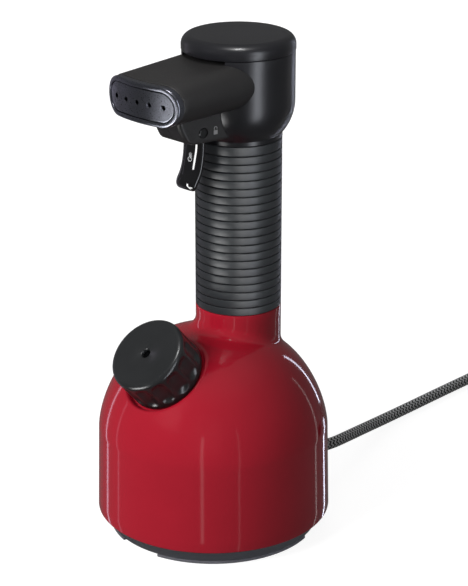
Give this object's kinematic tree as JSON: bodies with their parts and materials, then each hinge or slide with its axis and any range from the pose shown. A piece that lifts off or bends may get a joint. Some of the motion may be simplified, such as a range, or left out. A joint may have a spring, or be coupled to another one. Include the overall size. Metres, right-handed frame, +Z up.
{
  "type": "garment steamer",
  "caption": "Hand-held garment steamer: domed base with a slanted filler cap, a round grip column, a round head with a flat steam nozzle and a finger trigger, on a braided mains cord.",
  "frame": {"origin": "on the floor under the middle of the object without its cord", "axes": "+Z up; -Y is the front, where the nozzle, trigger and filler cap are; the cord leaves towards +Y"},
  "size_m": [0.1666, 0.4502, 0.3073],
  "materials": {
    "red_gloss": "high gloss",
    "black_plastic": "fine matte texture",
    "satin_black": "satin",
    "grey_plastic": "matte",
    "grip_rubber": "soft matte, grooved",
    "piano_black": "mirror gloss",
    "gunmetal": "satin metallic",
    "aluminium": "die cast",
    "steel": "bright zinc",
    "brass": "machined",
    "silicone": "matte",
    "board": "solder mask",
    "braid": "braided textile, black and grey"
  },
  "bodies": {
    "housing": {"body_shell": "red_gloss", "base_plate": "grey_plastic", "foot_right": "grey_plastic", "foot_back": "grey_plastic", "foot_left": "grey_plastic", "base_screw_1": "steel", "base_screw_2": "steel", "base_screw_3": "steel", "boiler_pan": "aluminium", "boiler_cover": "aluminium", "boiler_gasket": "silicone", "boiler_screw_1": "steel", "boiler_screw_2": "steel", "boiler_screw_3": "steel", "boiler_screw_4": "steel", "heating_element": "steel", "thermostat": "brass", "thermal_fuse": "steel", "safety_valve": "brass", "steam_pipe": "steel", "control_board": "board", "inner_lead": "black_plastic", "filler_seat": "steel", "column_core": "black_plastic", "grip_sleeve": "grip_rubber", "head_shell": "satin_black", "head_lid": "satin_black", "nozzle_shell": "black_plastic", "nozzle_rim": "gunmetal", "nozzle_plate": "gunmetal", "steam_manifold": "aluminium", "steam_duct": "silicone", "valve_body": "brass", "valve_spring": "steel", "trigger_housing": "black_plastic", "trigger_pin": "steel", "cord": "braid", "cord_coil": "braid", "cord_tail": "braid", "coil_tie": "black_plastic", "strain_relief": "black_plastic", "plug_body": "black_plastic", "plug_blade_left": "brass", "plug_blade_right": "brass", "plug_ground_pin": "brass"},
    "trigger": {"trigger": "piano_black"},
    "valve_stem": {"valve_stem": "steel"},
    "lock_button": {"lock_button": "black_plastic"},
    "cap_seal": {"cap_gasket": "silicone"},
    "filler_cap": {"filler_cap": "black_plastic", "cap_plug": "black_plastic"},
    "relief_pin": {"relief_pin": "steel"}
  },
  "joints": [
    {"name": "trigger_swing", "type": "hinge", "parent": "housing", "child": "trigger", "pos_m": [0, -0.0166, 0.2635], "axis": [1, 0, 0], "range_deg": [0, 11], "stiffness_Nm_per_rad": 0.2, "springref_deg": -8.59},
    {"name": "stem_push", "type": "slide", "parent": "housing", "child": "valve_stem", "axis": [0, 1, 0], "range_m": [0, 0.0016], "deforming": ["valve_spring"]},
    {"name": "lock_slide", "type": "slide", "parent": "housing", "child": "lock_button", "axis": [1, 0, 0], "range_m": [0, 0.003]},
    {"name": "cap_lift", "type": "slide", "parent": "housing", "child": "cap_seal", "axis": [0, -0.6691, 0.7431], "range_m": [0, 0.0101]},
    {"name": "cap_turn", "type": "hinge", "parent": "cap_seal", "child": "filler_cap", "pos_m": [0, -0.0386, 0.1081], "axis": [0, -0.6691, 0.7431], "range_deg": [0, 900]},
    {"name": "relief_rise", "type": "slide", "parent": "filler_cap", "child": "relief_pin", "axis": [0, -0.6691, 0.7431], "range_m": [0, 0.0012], "stiffness_N_per_m": 200, "springref_m": -0.0005}
  ],
  "couplings": [
    {"joint": "stem_push", "follows": "trigger_swing", "m_per_rad": 0.008},
    {"joint": "cap_lift", "follows": "cap_turn", "m_per_rad": 0.00063662}
  ]
}
